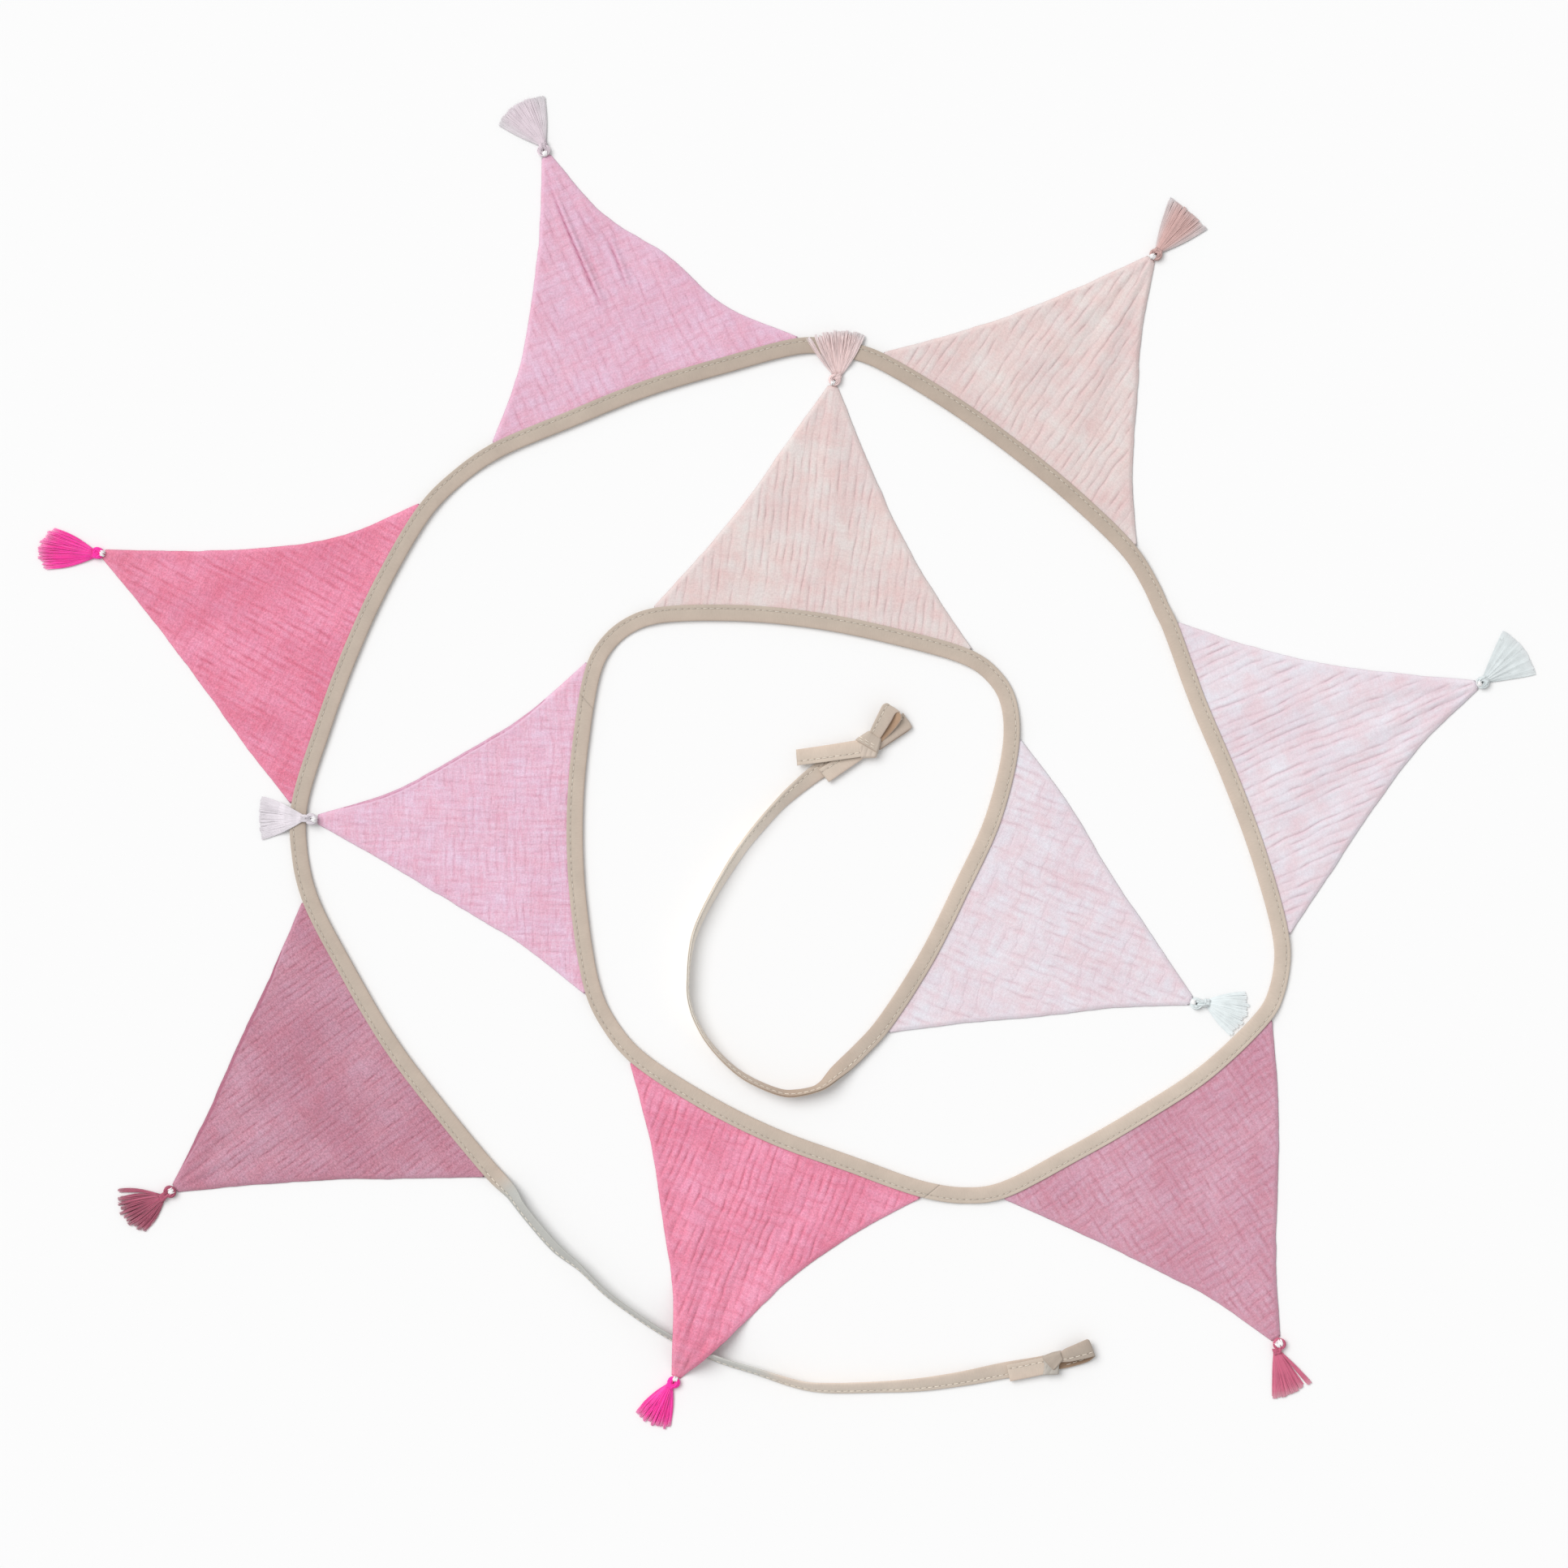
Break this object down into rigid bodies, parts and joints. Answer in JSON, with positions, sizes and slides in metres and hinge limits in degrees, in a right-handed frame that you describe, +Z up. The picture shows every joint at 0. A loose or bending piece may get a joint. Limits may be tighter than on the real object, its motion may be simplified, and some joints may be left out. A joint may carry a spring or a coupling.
{
  "type": "fabric bunting",
  "caption": "String of triangular cloth flags sewn into a folded binding, with a thread tassel at each tip and a tied bow at each end, laid in a spiral.",
  "frame": {"origin": "centre of the laid-out bunting's box, on the surface it lies on", "axes": "+X along the spiral's longest side, +Z up from the surface"},
  "size_m": [0.9241, 0.8231, 0.0129],
  "materials": {
    "binding": "plain-woven cotton binding, beige",
    "rose_cloth": "crinkled double gauze, dusty rose",
    "coral_cloth": "crinkled double gauze, coral pink",
    "pink_cloth": "crinkled double gauze, soft pink",
    "blush_cloth": "crinkled double gauze, blush",
    "pale_cloth": "crinkled double gauze, pale pink",
    "rose_thread": "soft tassel thread, dark rose",
    "magenta_thread": "soft tassel thread, magenta",
    "shell_thread": "soft tassel thread, shell pink",
    "clay_thread": "soft tassel thread, clay pink",
    "ice_thread": "soft tassel thread, icy white",
    "lilac_thread": "soft tassel thread, pale lilac",
    "white_thread": "sewing thread, white"
  },
  "bodies": {
    "root": {"tape_outer": "binding", "tape_middle": "binding", "tape_inner": "binding", "bow_outer_knot": "binding", "bow_outer_tail": "binding", "bow_outer_loop": "binding", "bow_inner_knot": "binding", "bow_inner_tail": "binding", "bow_inner_short_tail": "binding", "bow_inner_loop": "binding", "bow_inner_low_loop": "binding", "flag_01": "rose_cloth", "flag_02": "coral_cloth", "flag_03": "pink_cloth", "flag_04": "blush_cloth", "flag_05": "pale_cloth", "flag_06": "rose_cloth", "flag_07": "coral_cloth", "flag_08": "pink_cloth", "flag_09": "blush_cloth", "flag_10": "pale_cloth", "tassel_01": "rose_thread", "tassel_02": "magenta_thread", "tassel_03": "shell_thread", "tassel_04": "clay_thread", "tassel_05": "ice_thread", "tassel_06": "rose_thread", "tassel_07": "magenta_thread", "tassel_08": "lilac_thread", "tassel_09": "clay_thread", "tassel_10": "ice_thread", "thread_01": "white_thread", "thread_02": "white_thread", "thread_03": "white_thread", "thread_04": "white_thread", "thread_05": "white_thread", "thread_06": "white_thread", "thread_07": "white_thread", "thread_08": "white_thread", "thread_09": "white_thread", "thread_10": "white_thread"}
  },
  "joints": []
}
